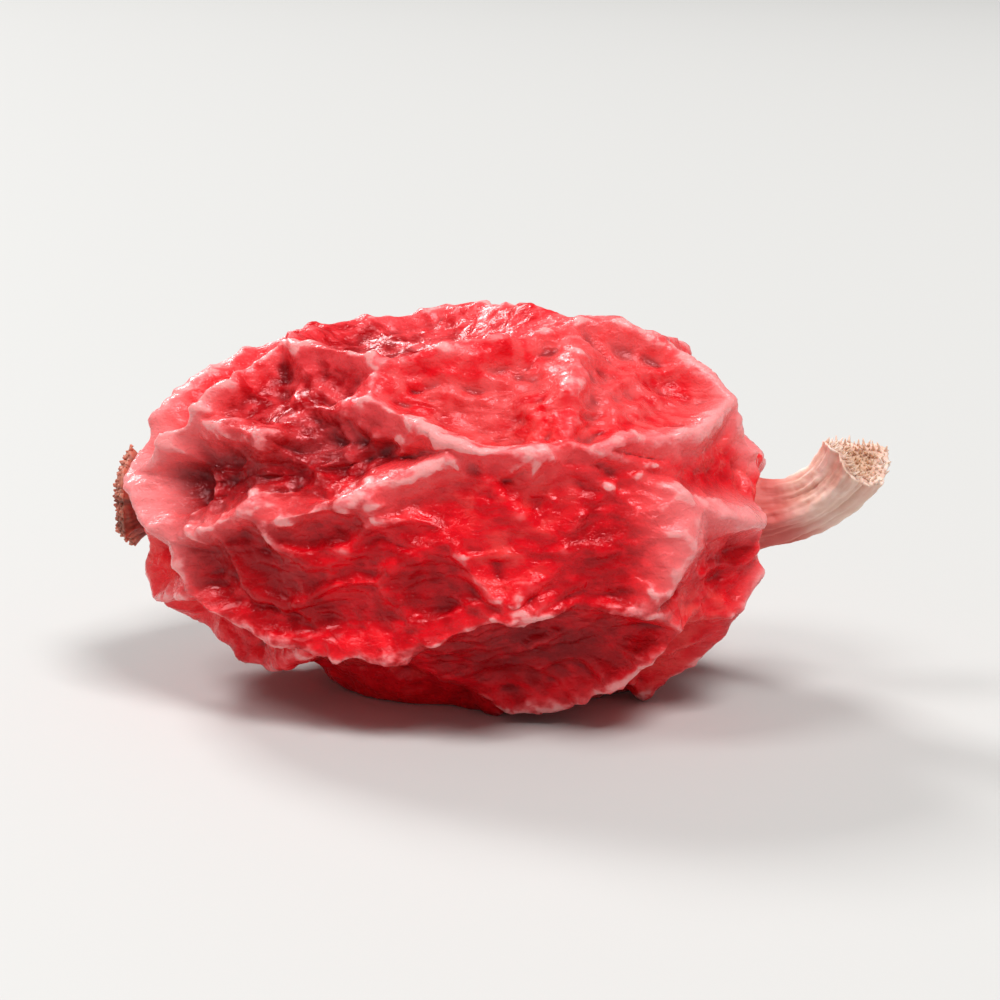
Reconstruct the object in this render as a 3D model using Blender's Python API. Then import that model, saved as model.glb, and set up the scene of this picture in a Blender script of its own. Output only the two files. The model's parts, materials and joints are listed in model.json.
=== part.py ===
"""A single dried barberry, lying on its side.

Three solids: the wrinkled fruit, the short stub of its stalk at the +X end, and the puckered
remnant of the flower's stigma at the -X end. The long axis lies along X, the berry rests on a
small flat patch of its own skin at Z = 0, and the side that faces -Y is the one that shows.

Every length below is in millimetres, and becomes metres where a mesh is written.
"""

import math
from collections import namedtuple

import bmesh
import bpy
import numpy as np

MM = 0.001

# The smooth fruit, before its skin sinks.
FRUIT_LENGTH = 7.4
FRUIT_WIDTH = 4.8
FRUIT_HEIGHT = 4.55
END_BLUNTNESS = 2.3
STALK_END_SWELL = 0.09
SIDE_BEND = 0.16

# The stub of the stalk, from its flared foot to its torn end.
STALK_LENGTH = 1.45
STALK_FOOT_RADIUS = 0.44
STALK_RADIUS = 0.31
STALK_END_RADIUS = 0.38
STALK_FOOT_FLARE = 4
STALK_END_FLARE = 3
STALK_BEND = math.radians(70)
STALK_LEAN = math.radians(20)
STALK_RIBS = 5
STALK_RIB_HEIGHT = 0.09
STALK_RIB_ONSET = 0.25
STALK_TEAR = 0.10
STALK_TEAR_TURN = 0.6

# The stigma remnant, a button with a puckered rim round a pit. Its profile runs up its side for
# a share of the way, and then over the rim and into the pit.
STIGMA_HEIGHT = 0.40
STIGMA_SIDE_HEIGHT = 0.29
STIGMA_SIDE_SHARE = 0.4
STIGMA_FOOT_RADIUS = 0.40
STIGMA_WAIST_RADIUS = 0.36
STIGMA_RIM_RADIUS = 0.54
STIGMA_CROWN_SHARE = 1.0 / 3.0
STIGMA_PIT_DEPTH = 0.26
STIGMA_PIT_SPAN = (0.3, 0.9)
STIGMA_LOBES = 6
STIGMA_LOBE_HEIGHT = 0.08
STIGMA_LOBE_WANDER = 0.8

# The seats that the stub and the remnant stand on, sunk into the two ends of the fruit, and the
# pleats of skin that run in to each: their numbers are the stalk's and the stigma's.
SEAT_ZONE = 0.25
SEAT_MARGIN = 0.04
SEAT_DEPTH = 0.26
SEAT_LIP = 0.42
SEAT_GAP = 0.03
PLEATS = (9, 8)
PLEAT_HEIGHT = 0.075
PLEAT_REACH = 1.9
PLEAT_WANDER = 0.5

# The patch that the fruit rests on.
PATCH_LENGTH = 2.4
PATCH_WIDTH = 1.6
PATCH_MARGIN = 0.7
PATCH_FLATNESS = 0.012
REST_CUT = 0.14

# A net of crests: a hollow sinks round each centre, and a crest is left along every border
# between two hollows. Stretch is how much longer than wide the hollows are, spread how far their
# depths differ, reach how far a crest slopes down on each side, weak the share of crests that
# have nearly faded, and lip the thin line that stands up along a crest. The depths of two
# neighbours blend over a number of reaches.
Net = namedtuple("Net", "seed hollows jitter stretch depth spread reach rounding weak lip lip_width")
MAIN_NET = Net(17, 48, 0.10, 1.60, 0.45, 0.35, 0.31, 0.08, 0.16, 0.12, 0.16)
SIDE_NET = Net(29, 130, 0.05, 1.45, 0.11, 0.50, 0.17, 0.05, 0.30, 0.02, 0.09)
SHOWN_CLEARANCE = 0.42
NEIGHBOURS = 8
DEPTH_BLEND = 2.0
CREST_STRENGTHS = (0.8, 1.0)
WEAK_CREST = 0.2
CREST_TAPER = 1.5
WARP_HEIGHT = 0.20
WARP_WAVES = 7
WARP_LENGTHS = (1.6, 4.5)

# Where the skin is calm the side net is fainter by this share.
CALM_SHARE = 0.75
CALM_LENGTHS = (2.2, 4.0)
CALM_EDGES = (-0.4, 0.8)

# Hollows of the side that shows, each as its place along the fruit, from -1 at the stigma to 1
# at the stalk, its angle in degrees above the level of the -Y side, and its share of the net's
# depth.
SHOWN_HOLLOWS = (
    (-0.70, 27, 1.45),
    (-0.33, 29, 1.45),
    (-0.50, 57, 0.90),
    (-0.16, 82, 1.00),
    (-0.62, -8, 0.65),
    (-0.20, -8, 0.65),
    (0.14, 9, 0.65),
    (0.54, 7, 0.90),
    (0.20, 52, 0.90),
    (0.62, 55, 0.80),
    (0.36, -36, 1.00),
)

# Pairs of those hollows that run together, as the crest between them has all but gone.
RUN_TOGETHER = ((0, 1), (4, 5), (5, 6), (6, 7))

# The middle of the whole berry's box, from the middle of the fruit.
BOX_MIDDLE_X = 0.58
BOX_MIDDLE_Y = -0.11

# How finely the solids are meshed.
FRUIT_CUTS = 63
FRUIT_KEPT_FACES = 0.125
STALK_SIDES = 20
STALK_RINGS = 10
STIGMA_SIDES = 24
STIGMA_RINGS = 10

# Points closer than this, in metres, are one point; an axis is kept this far from nothing.
SAME_POINT = 1e-7
TINY = 1e-9

SKIN_RED = (0.36, 0.012, 0.014, 1.0)
SKIN_ROUGHNESS = 0.35
STALK_CREAM = (0.80, 0.52, 0.40, 1.0)
STALK_ROUGHNESS = 0.6
STIGMA_PINK = (0.62, 0.24, 0.19, 1.0)
STIGMA_ROUGHNESS = 0.5


def smooth_step(low, high, value):
    """0 at low and 1 at high, easing in and out between them."""
    share = np.clip((value - low) / (high - low), 0.0, 1.0)
    return share * share * (3.0 - 2.0 * share)


def waves(seed, points, count, lengths):
    """Smooth seeded waves in three directions at each point."""
    rng = np.random.default_rng(seed)
    total = np.zeros_like(points)
    for _ in range(count):
        heading = rng.normal(size=3)
        heading /= np.linalg.norm(heading)
        push = rng.normal(size=3)
        phase = rng.uniform(0.0, 2.0 * math.pi)
        turns = 2.0 * math.pi / rng.uniform(*lengths)
        total += np.outer(np.sin(points @ heading * turns + phase), push)
    return total / math.sqrt(count)


def smooth_fruit(directions):
    """Points of the smooth fruit in unit directions, and the outward normal at each."""
    along = directions[:, 0]
    ring = np.maximum(np.hypot(directions[:, 1], directions[:, 2]), TINY)
    girth = (1.0 - np.abs(along) ** END_BLUNTNESS) ** (1.0 / END_BLUNTNESS)
    girth *= 1.0 + STALK_END_SWELL * along
    points = np.empty_like(directions)
    points[:, 0] = FRUIT_LENGTH / 2 * along
    points[:, 1] = FRUIT_WIDTH / 2 * girth * directions[:, 1] / ring
    points[:, 2] = FRUIT_HEIGHT / 2 * girth * directions[:, 2] / ring
    points[:, 1] += SIDE_BEND * (along**2 - 1.0)
    half_sizes = np.array([FRUIT_LENGTH, FRUIT_WIDTH, FRUIT_HEIGHT]) / 2
    normals = directions / half_sizes
    normals /= np.linalg.norm(normals, axis=1, keepdims=True)
    return points, normals


def shown_directions():
    """Unit directions of the middles of the hollows of the side that shows."""
    places = []
    for along, degrees, _ in SHOWN_HOLLOWS:
        ring = math.sqrt(1.0 - along**2)
        angle = math.radians(degrees)
        places.append((along, -ring * math.cos(angle), ring * math.sin(angle)))
    return np.array(places)


def ruled_directions(net, kept):
    """Unit directions on a jittered golden spiral, clear of those that are kept, and the kept ones."""
    rng = np.random.default_rng(net.seed)
    golden_turn = math.pi * (3.0 - math.sqrt(5.0))
    chosen = list(kept)
    for index in range(net.hollows):
        along = 1.0 - 2.0 * (index + 0.5) / net.hollows
        ring = math.sqrt(1.0 - along**2)
        angle = golden_turn * index
        place = np.array([along, ring * math.cos(angle), ring * math.sin(angle)])
        place += rng.normal(scale=net.jitter, size=3)
        place /= np.linalg.norm(place)
        if all(np.linalg.norm(place - other) > SHOWN_CLEARANCE for other in kept):
            chosen.append(place)
    return np.array(chosen)


def relief(net, points, kept=(), kept_depths=(), run_together=()):
    """How far a net sinks the skin at each point; the kept hollows have depths of their own."""
    stretch = np.array([net.stretch, 1.0, 1.0])
    centres = smooth_fruit(ruled_directions(net, kept))[0] / stretch
    warp = waves(net.seed + 1, points, WARP_WAVES, WARP_LENGTHS)
    places = (points + WARP_HEIGHT * warp) / stretch

    rng = np.random.default_rng(net.seed + 2)
    count = len(centres)
    strength = rng.uniform(*CREST_STRENGTHS, size=(count, count))
    strength = np.where(rng.uniform(size=(count, count)) < net.weak, WEAK_CREST, strength)
    for first, second in run_together:
        strength[first, second] = WEAK_CREST
    strength = np.maximum(np.triu(strength, 1), np.triu(strength, 1).T)
    depth = net.depth * (1.0 + net.spread * rng.uniform(-1.0, 1.0, size=count))
    depth[: len(kept)] = net.depth * np.array(kept_depths)

    squares = ((places[:, None, :] - centres[None, :, :]) ** 2).sum(axis=2)
    nearest = np.argsort(squares, axis=1)[:, :NEIGHBOURS]
    squares = np.take_along_axis(squares, nearest, axis=1)
    weights = np.exp(-(squares - squares[:, :1]) / (DEPTH_BLEND * net.reach) ** 2)
    depths = (weights * depth[nearest]).sum(axis=1) / weights.sum(axis=1)

    crest = np.zeros(len(points))
    lip = np.zeros(len(points))
    for first in range(NEIGHBOURS):
        for second in range(first + 1, NEIGHBOURS):
            a, b = nearest[:, first], nearest[:, second]
            apart = 2.0 * np.linalg.norm(centres[a] - centres[b], axis=1)
            beside = (squares[:, second] - squares[:, first]) / apart
            beyond = (squares[:, first] - squares[:, 0]) / apart
            away = np.sqrt(beside**2 + (CREST_TAPER * beyond) ** 2 + net.rounding**2) - net.rounding
            crest = np.maximum(crest, strength[a, b] * np.exp(-away / net.reach))
            lip = np.maximum(lip, strength[a, b] * np.exp(-((away / net.lip_width) ** 2)))
    return depths * (crest - 1.0) + net.lip * lip


def wrinkled_fruit(directions):
    """Points of the dried fruit in unit directions."""
    points, normals = smooth_fruit(directions)
    shown_depths = [depth for _, _, depth in SHOWN_HOLLOWS]
    sunk = relief(MAIN_NET, points, shown_directions(), shown_depths, RUN_TOGETHER)
    calm = smooth_step(*CALM_EDGES, waves(MAIN_NET.seed + 5, points, WARP_WAVES, CALM_LENGTHS)[:, 0])
    sunk += relief(SIDE_NET, points) * (1.0 - CALM_SHARE * calm)

    at_stalk = points[:, 0] > 0
    off_axis = np.hypot(points[:, 1], points[:, 2])
    foot = np.where(at_stalk, STALK_FOOT_RADIUS, STIGMA_FOOT_RADIUS) + SEAT_MARGIN
    near_end = np.abs(points[:, 0]) > FRUIT_LENGTH * SEAT_ZONE
    seat = np.where(near_end, smooth_step(1.0, 0.0, (off_axis - foot) / SEAT_LIP), 0.0)
    turn = np.arctan2(points[:, 2], points[:, 1])
    turn += PLEAT_WANDER * waves(MAIN_NET.seed + 7, points, WARP_WAVES, WARP_LENGTHS)[:, 1]
    pleat = np.cos(turn * np.where(at_stalk, *PLEATS))
    pleat *= np.where(near_end, smooth_step(PLEAT_REACH, foot, off_axis), 0.0)
    sunk += PLEAT_HEIGHT * pleat

    reach = 2.0 * np.hypot(points[:, 0] / PATCH_LENGTH, points[:, 1] / PATCH_WIDTH)
    patch = smooth_step(1.0 + PATCH_MARGIN, 1.0, reach) * (points[:, 2] < 0)
    points = points + normals * (sunk * (1.0 - seat) * (1.0 - patch))[:, None]
    seat_height = np.where(at_stalk, 1.0, -1.0) * (FRUIT_LENGTH / 2 - SEAT_DEPTH)
    points[:, 0] += (seat_height - points[:, 0]) * seat
    floor = REST_CUT - FRUIT_HEIGHT / 2
    points[:, 2] = np.maximum(points[:, 2], floor)
    return points


def stalk_shape(share, turn):
    """A point of the stub: share runs from 0 at its foot to 1 at its torn end."""
    radius = STALK_RADIUS + (STALK_FOOT_RADIUS - STALK_RADIUS) * (1.0 - share) ** STALK_FOOT_FLARE
    radius += (STALK_END_RADIUS - STALK_RADIUS) * share**STALK_END_FLARE
    radius *= 1.0 + STALK_RIB_HEIGHT * math.cos(STALK_RIBS * turn) * min(1.0, share / STALK_RIB_ONSET)
    bend_radius = STALK_LENGTH / STALK_BEND
    angle = STALK_BEND * share
    out = radius * math.cos(turn)
    across = bend_radius * (1.0 - math.cos(angle)) + out * math.cos(angle)
    up = bend_radius * math.sin(angle) - out * math.sin(angle)
    if share == 1.0:
        up += STALK_TEAR * math.sin(2.0 * turn + STALK_TEAR_TURN)
    return across, radius * math.sin(turn), up


def stigma_shape(share, turn):
    """A point of the remnant: share runs from 0 at its foot over the rim to 1 in its pit."""
    wander = STIGMA_LOBE_WANDER * math.sin(2.0 * turn)
    lobe = 1.0 + STIGMA_LOBE_HEIGHT * math.cos(STIGMA_LOBES * turn + wander)
    if share < STIGMA_SIDE_SHARE:
        rise = share / STIGMA_SIDE_SHARE
        flare = rise * rise
        radius = STIGMA_FOOT_RADIUS + (STIGMA_RIM_RADIUS - STIGMA_FOOT_RADIUS) * flare
        radius += (STIGMA_WAIST_RADIUS - STIGMA_FOOT_RADIUS) * math.sin(math.pi * rise)
        radius *= 1.0 + (lobe - 1.0) * flare
        up = STIGMA_SIDE_HEIGHT * rise
    else:
        inward = (share - STIGMA_SIDE_SHARE) / (1.0 - STIGMA_SIDE_SHARE)
        crown = math.sin(min(1.0, inward / STIGMA_CROWN_SHARE) * math.pi / 2)
        radius = STIGMA_RIM_RADIUS * (1.0 - inward) * lobe
        up = STIGMA_SIDE_HEIGHT + (STIGMA_HEIGHT - STIGMA_SIDE_HEIGHT) * crown
        up -= STIGMA_PIT_DEPTH * float(smooth_step(*STIGMA_PIT_SPAN, inward))
    return radius * math.cos(turn), radius * math.sin(turn), up


def new_object(name, ball, color, roughness, parent):
    """Turns a bmesh into an object with its own material."""
    bmesh.ops.triangulate(ball, faces=ball.faces[:])
    bmesh.ops.recalc_face_normals(ball, faces=ball.faces[:])
    mesh = bpy.data.meshes.new(name)
    ball.to_mesh(mesh)
    ball.free()
    material = bpy.data.materials.new(name)
    material.use_nodes = True
    shader = material.node_tree.nodes["Principled BSDF"]
    shader.inputs["Base Color"].default_value = color
    shader.inputs["Roughness"].default_value = roughness
    shader.inputs["Metallic"].default_value = 0.0
    mesh.materials.append(material)
    mesh.shade_smooth()
    item = bpy.data.objects.new(name, mesh)
    item.parent = parent
    bpy.context.collection.objects.link(item)
    return item


def thinned(item, kept_faces):
    """The object's mesh with only a share of its faces kept."""
    thin = item.modifiers.new("thin", "DECIMATE")
    thin.ratio = kept_faces
    seen = item.evaluated_get(bpy.context.evaluated_depsgraph_get())
    mesh = bpy.data.meshes.new_from_object(seen)
    item.modifiers.remove(thin)
    return mesh


def make_fruit(parent):
    """The fruit: a fine geodesic ball, formed point by point, thinned, and flat where it rests."""
    ball = bmesh.new()
    bmesh.ops.create_icosphere(ball, subdivisions=1, radius=1.0)
    bmesh.ops.subdivide_edges(ball, edges=ball.edges[:], cuts=FRUIT_CUTS, use_grid_fill=True)
    directions = np.array([vertex.co[:] for vertex in ball.verts])
    directions /= np.linalg.norm(directions, axis=1, keepdims=True)
    for vertex, point in zip(ball.verts, wrinkled_fruit(directions) * MM):
        vertex.co = point
    fruit = new_object("fruit", ball, SKIN_RED, SKIN_ROUGHNESS, parent)
    fruit.data = thinned(fruit, FRUIT_KEPT_FACES)
    floor = (REST_CUT - FRUIT_HEIGHT / 2) * MM
    for vertex in fruit.data.vertices:
        if vertex.co.z < floor + PATCH_FLATNESS * MM:
            vertex.co.z = floor
    return fruit


def column(sides, rings, shape):
    """An upright column of rings: each vertex goes where shape puts its share of the height."""
    stack = bmesh.new()
    bmesh.ops.create_circle(stack, cap_ends=True, segments=sides, radius=1.0)
    top = stack.faces[:]
    for ring in range(rings - 1):
        grown = bmesh.ops.extrude_face_region(stack, geom=top)["geom"]
        if ring > 0:
            bmesh.ops.delete(stack, geom=top, context="FACES_ONLY")
        top = [part for part in grown if isinstance(part, bmesh.types.BMFace)]
        risen = [part for part in grown if isinstance(part, bmesh.types.BMVert)]
        bmesh.ops.translate(stack, verts=risen, vec=(0.0, 0.0, 1.0))
    for vertex in stack.verts:
        x, y, height = vertex.co
        vertex.co = [size * MM for size in shape(round(height) / (rings - 1), math.atan2(y, x))]
    return stack


def make_stalk_stub(parent):
    """The stub leaves its seat along +X and bends up, leaning to the side that shows."""
    stub = column(STALK_SIDES, STALK_RINGS, stalk_shape)
    item = new_object("stalk_stub", stub, STALK_CREAM, STALK_ROUGHNESS, parent)
    item.location.x = (FRUIT_LENGTH / 2 - SEAT_DEPTH + SEAT_GAP) * MM
    item.rotation_mode = "ZYX"
    item.rotation_euler = (STALK_LEAN, math.pi / 2, math.pi)
    return item


def make_stigma_remnant(parent):
    """The remnant faces -X."""
    button = column(STIGMA_SIDES, STIGMA_RINGS, stigma_shape)
    bmesh.ops.remove_doubles(button, verts=button.verts[:], dist=SAME_POINT)
    item = new_object("stigma_remnant", button, STIGMA_PINK, STIGMA_ROUGHNESS, parent)
    item.location.x = -(FRUIT_LENGTH / 2 - SEAT_DEPTH + SEAT_GAP) * MM
    item.rotation_euler = (0.0, -math.pi / 2, 0.0)
    return item


def main():
    for item in list(bpy.data.objects):
        bpy.data.objects.remove(item)
    barberry = bpy.data.objects.new("barberry", None)
    bpy.context.collection.objects.link(barberry)
    barberry.location = (-BOX_MIDDLE_X * MM, -BOX_MIDDLE_Y * MM, (FRUIT_HEIGHT / 2 - REST_CUT) * MM)
    make_fruit(barberry)
    make_stalk_stub(barberry)
    make_stigma_remnant(barberry)


main()
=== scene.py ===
"""A dried barberry lying on its side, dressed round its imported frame.

Each of the frame's three nodes is replaced by a finer piece of the same form: the wrinkled
fruit, the stub of its stalk, and the puckered remnant of the flower's stigma. Lengths of the
form are in millimetres, as in the frame's source, and become metres where a mesh is written.
"""

import json
import logging
import math
from collections.abc import Sequence
from dataclasses import asdict, dataclass
from enum import Enum, StrEnum, auto
from functools import cache
from typing import ClassVar

import bmesh
import bpy
import numpy as np
from bpy.types import Material, Mesh, Node, NodeSocket, NodeTree, Object
from mathutils import Euler, Matrix, Vector


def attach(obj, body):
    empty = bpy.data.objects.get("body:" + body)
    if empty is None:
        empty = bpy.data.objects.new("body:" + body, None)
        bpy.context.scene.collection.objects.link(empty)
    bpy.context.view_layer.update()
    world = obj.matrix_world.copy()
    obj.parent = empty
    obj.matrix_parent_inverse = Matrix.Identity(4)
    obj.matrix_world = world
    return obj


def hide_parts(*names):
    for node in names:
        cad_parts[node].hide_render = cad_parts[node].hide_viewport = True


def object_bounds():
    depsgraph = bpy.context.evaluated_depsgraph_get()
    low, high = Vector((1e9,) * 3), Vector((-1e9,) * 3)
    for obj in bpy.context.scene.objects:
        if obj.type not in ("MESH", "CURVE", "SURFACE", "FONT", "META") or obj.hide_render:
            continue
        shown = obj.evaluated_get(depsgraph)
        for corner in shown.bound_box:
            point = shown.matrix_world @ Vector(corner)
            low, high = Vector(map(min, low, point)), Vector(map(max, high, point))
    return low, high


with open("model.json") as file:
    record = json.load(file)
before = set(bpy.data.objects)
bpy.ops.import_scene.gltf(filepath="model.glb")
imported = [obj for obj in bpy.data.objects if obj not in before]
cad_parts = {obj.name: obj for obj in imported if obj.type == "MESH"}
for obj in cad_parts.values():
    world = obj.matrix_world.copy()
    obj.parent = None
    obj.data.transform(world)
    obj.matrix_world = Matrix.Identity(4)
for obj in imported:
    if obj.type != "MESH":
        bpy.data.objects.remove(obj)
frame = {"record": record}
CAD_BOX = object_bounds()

log = logging.getLogger("barberry")

MM = 0.001
BODY = "root"
GOLDEN_TURN = math.pi * (3.0 - math.sqrt(5.0))
ARROW = "FLOAT_VECTOR"
GEOMETRY = {"Geometry": "NodeSocketGeometry"}
SEED_STEP = (7.31, 3.17, 5.23)
SAME_POINT = 1e-7
STREAK_SPAN = (0.36, 0.62)
BLOT_SPAN = (0.35, 0.65)
PATCHY_SPAN = (0.0, 0.4)
FULL_DENSITY = 2e9
TINY = 1e-9

Triple = tuple[float, float, float]
Span = tuple[float, float]


class Slot(Enum):
    """The record's material slots."""

    SKIN = "fruit_skin"
    STALK = "stalk"
    STIGMA = "stigma"


class Mask(StrEnum):
    """The attributes that the pieces carry for their finishes, each from 0 to 1."""

    CREST = auto()
    HOLLOW = auto()
    TONE = auto()
    FREE = auto()
    TIP = auto()
    RAISED = auto()
    CREASED = auto()
    UPWARD = auto()


def smooth_step(low: float, high: float, value: np.ndarray | float) -> np.ndarray | float:
    """Eases values from 0 where they are low to 1 where they are high."""
    share = np.clip((value - low) / (high - low), 0.0, 1.0)
    return share * share * (3.0 - 2.0 * share)


@dataclass(frozen=True)
class Waves:
    """Smooth seeded waves that run through space."""

    seed: int
    shortest: float
    longest: float
    count: int = 7

    def at(self, points: np.ndarray) -> np.ndarray:
        """Sums the waves.

        Args:
            points: places, one row each.

        Returns:
            The push in three directions at each place.
        """
        rng = np.random.default_rng(self.seed)
        total = np.zeros_like(points)
        for _ in range(self.count):
            heading = rng.normal(size=3)
            heading /= np.linalg.norm(heading)
            push = rng.normal(size=3)
            phase = rng.uniform(0.0, 2.0 * math.pi)
            turns = 2.0 * math.pi / rng.uniform(self.shortest, self.longest)
            total += np.outer(np.sin(points @ heading * turns + phase), push)
        return total / math.sqrt(self.count)


@dataclass(frozen=True)
class SmoothFruit:
    """The fruit before its skin sank: a blunt bent oval."""

    length: float = 7.4
    width: float = 4.8
    height: float = 4.55
    end_bluntness: float = 2.3
    stalk_end_swell: float = 0.09
    side_bend: float = 0.16

    def surface(self, directions: np.ndarray) -> tuple[np.ndarray, np.ndarray]:
        """Finds the smooth surface.

        Args:
            directions: unit directions from the fruit's middle, one row each.

        Returns:
            The point in each direction, and the outward normal there.
        """
        half = np.array([self.length, self.width, self.height]) / 2
        along = directions[:, 0]
        girth = (1.0 - np.abs(along) ** self.end_bluntness) ** (1.0 / self.end_bluntness)
        girth *= 1.0 + self.stalk_end_swell * along
        ring = np.maximum(np.hypot(directions[:, 1], directions[:, 2]), TINY)
        points = half * directions
        points[:, 1:] = half[1:] * girth[:, None] * directions[:, 1:] / ring[:, None]
        points[:, 1] += self.side_bend * (along**2 - 1.0)
        normals = directions / half
        normals /= np.linalg.norm(normals, axis=1, keepdims=True)
        return points, normals


@dataclass(frozen=True)
class Hollow:
    """A hollow of the side that shows.

    It lies a share of the way along the fruit, from -1 at the stigma to 1 at the stalk, and an
    angle in degrees above the level of the -Y side. Its depth is a share of the net's, and its
    tone runs from 0 for dark to 1 for pale: the flesh's own uneven tone, with painted light
    and shade besides, pale on facets that face the light and dark in deep pockets.
    """

    along: float
    degrees: float
    depth: float
    tone: float

    @property
    def direction(self) -> np.ndarray:
        """The unit direction of its middle from the fruit's."""
        ring, angle = math.sqrt(1.0 - self.along**2), math.radians(self.degrees)
        return np.array((self.along, -ring * math.cos(angle), ring * math.sin(angle)))


@dataclass(frozen=True)
class Relief:
    """What a net of crests does at each point of the skin."""

    rise: np.ndarray
    crest: np.ndarray
    tone: np.ndarray


@dataclass(frozen=True)
class CrestNet:
    """A net of crests: a hollow sinks round each centre, and a crest stands along every border.

    Some hollows are kept where they are placed, and the crest between two of those that run
    together has all but gone.
    """

    seed: int
    hollows: int
    jitter: float
    stretch: float
    depth: float
    spread: float
    reach: float
    rounding: float
    weak: float
    lip: float
    lip_width: float
    clearance: float = 0.42
    neighbours: int = 8
    strengths: Span = (0.8, 1.0)
    weak_strength: float = 0.2
    taper: float = 1.5
    warp_height: float = 0.20
    warp_lengths: Span = (1.6, 4.5)
    kept: tuple[Hollow, ...] = ()
    run_together: tuple[tuple[int, int], ...] = ()

    def directions(self) -> np.ndarray:
        """Sets hollows on a jittered golden spiral, clear of those that the net keeps.

        Returns:
            The unit directions of all the hollows, the kept ones first.
        """
        rng = np.random.default_rng(self.seed)
        placed = [hollow.direction for hollow in self.kept]
        chosen = list(placed)
        for index in range(self.hollows):
            along = 1.0 - 2.0 * (index + 0.5) / self.hollows
            ring, angle = math.sqrt(1.0 - along**2), GOLDEN_TURN * index
            place = np.array([along, ring * math.cos(angle), ring * math.sin(angle)])
            place += rng.normal(scale=self.jitter, size=3)
            place /= np.linalg.norm(place)
            if all(np.linalg.norm(place - other) > self.clearance for other in placed):
                chosen.append(place)
        return np.array(chosen)

    def relief(self, fruit: SmoothFruit, points: np.ndarray) -> Relief:
        """Sinks the skin.

        Args:
            fruit: the smooth fruit that the net covers.
            points: places on it.

        Returns:
            How far the skin rises, how near it is to a crest, and its tone.
        """
        shrink = np.array([self.stretch, 1.0, 1.0])
        centres = fruit.surface(self.directions())[0] / shrink
        warp = Waves(self.seed + 1, *self.warp_lengths).at(points)
        places = (points + self.warp_height * warp) / shrink

        rng = np.random.default_rng(self.seed + 2)
        count = len(centres)
        strength = rng.uniform(*self.strengths, size=(count, count))
        strength[rng.uniform(size=(count, count)) < self.weak] = self.weak_strength
        for pair in self.run_together:
            strength[pair] = self.weak_strength
        strength = np.maximum(np.triu(strength, 1), np.triu(strength, 1).T)
        depth = self.depth * (1.0 + self.spread * rng.uniform(-1.0, 1.0, size=count))
        tone = rng.uniform(size=count)
        for index, hollow in enumerate(self.kept):
            depth[index] = self.depth * hollow.depth
            tone[index] = hollow.tone

        squares = (places**2).sum(axis=1)[:, None] + (centres**2).sum(axis=1)[None, :]
        squares -= 2.0 * places @ centres.T
        nearest = np.argsort(squares, axis=1)[:, : self.neighbours]
        squares = np.take_along_axis(squares, nearest, axis=1)
        weights = np.exp(-(squares - squares[:, :1]) / (2.0 * self.reach) ** 2)
        weights /= weights.sum(axis=1, keepdims=True)

        crest = np.zeros(len(points))
        lip = np.zeros(len(points))
        for first in range(self.neighbours):
            for second in range(first + 1, self.neighbours):
                a, b = nearest[:, first], nearest[:, second]
                apart = 2.0 * np.linalg.norm(centres[a] - centres[b], axis=1)
                beside = (squares[:, second] - squares[:, first]) / apart
                beyond = (squares[:, first] - squares[:, 0]) / apart
                away = np.sqrt(beside**2 + (self.taper * beyond) ** 2 + self.rounding**2)
                away -= self.rounding
                crest = np.maximum(crest, strength[a, b] * np.exp(-away / self.reach))
                lip = np.maximum(lip, strength[a, b] * np.exp(-((away / self.lip_width) ** 2)))
        rise = (weights * depth[nearest]).sum(axis=1) * (crest - 1.0) + self.lip * lip
        return Relief(rise, crest, (weights * tone[nearest]).sum(axis=1))


class Value:
    """What a node gives, which plain operators work on as a number or as a vector."""

    def __init__(self, graph: "Graph", socket: NodeSocket) -> None:
        """Takes the node's output and the graph that the node is in."""
        self.graph, self.socket = graph, socket

    def __getitem__(self, name: str) -> "Value":
        """Gives another output of the same node."""
        return Value(self.graph, self.socket.node.outputs[name])

    def __add__(self, other: "Feed") -> "Value":
        """Adds."""
        return self.graph.math("ADD", self, other)

    def __sub__(self, other: "Feed") -> "Value":
        """Takes another value from this."""
        return self.graph.math("SUBTRACT", self, other)

    def __rsub__(self, other: "Feed") -> "Value":
        """Takes this from another value."""
        return self.graph.math("SUBTRACT", other, self)

    def __mul__(self, other: "Feed") -> "Value":
        """Multiplies."""
        return self.graph.math("MULTIPLY", self, other)

    def __truediv__(self, other: "Feed") -> "Value":
        """Divides this by another value."""
        return self.graph.math("DIVIDE", self, other)

    def __rtruediv__(self, other: "Feed") -> "Value":
        """Divides another value by this."""
        return self.graph.math("DIVIDE", other, self)

    def line(self, start: float, slope: float) -> "Value":
        """Gives a start plus a slope times this."""
        return self * slope + start

    def ramp(self, low: "Feed", high: "Feed") -> "Value":
        """Eases from 0 where this is low to 1 where it is high."""
        feeds = {"Value": self, "From Min": low, "From Max": high}
        return self.graph.add("ShaderNodeMapRange", feeds, interpolation_type="SMOOTHSTEP")


Feed = Value | float | int | str | Sequence[float]
Feeds = dict[str | int, Feed]


def is_vector(value: Feed) -> bool:
    """Tells a vector or a colour from a number."""
    sort = value.socket.type if isinstance(value, Value) else type(value)
    return sort in ("VECTOR", "RGBA", tuple)


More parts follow.
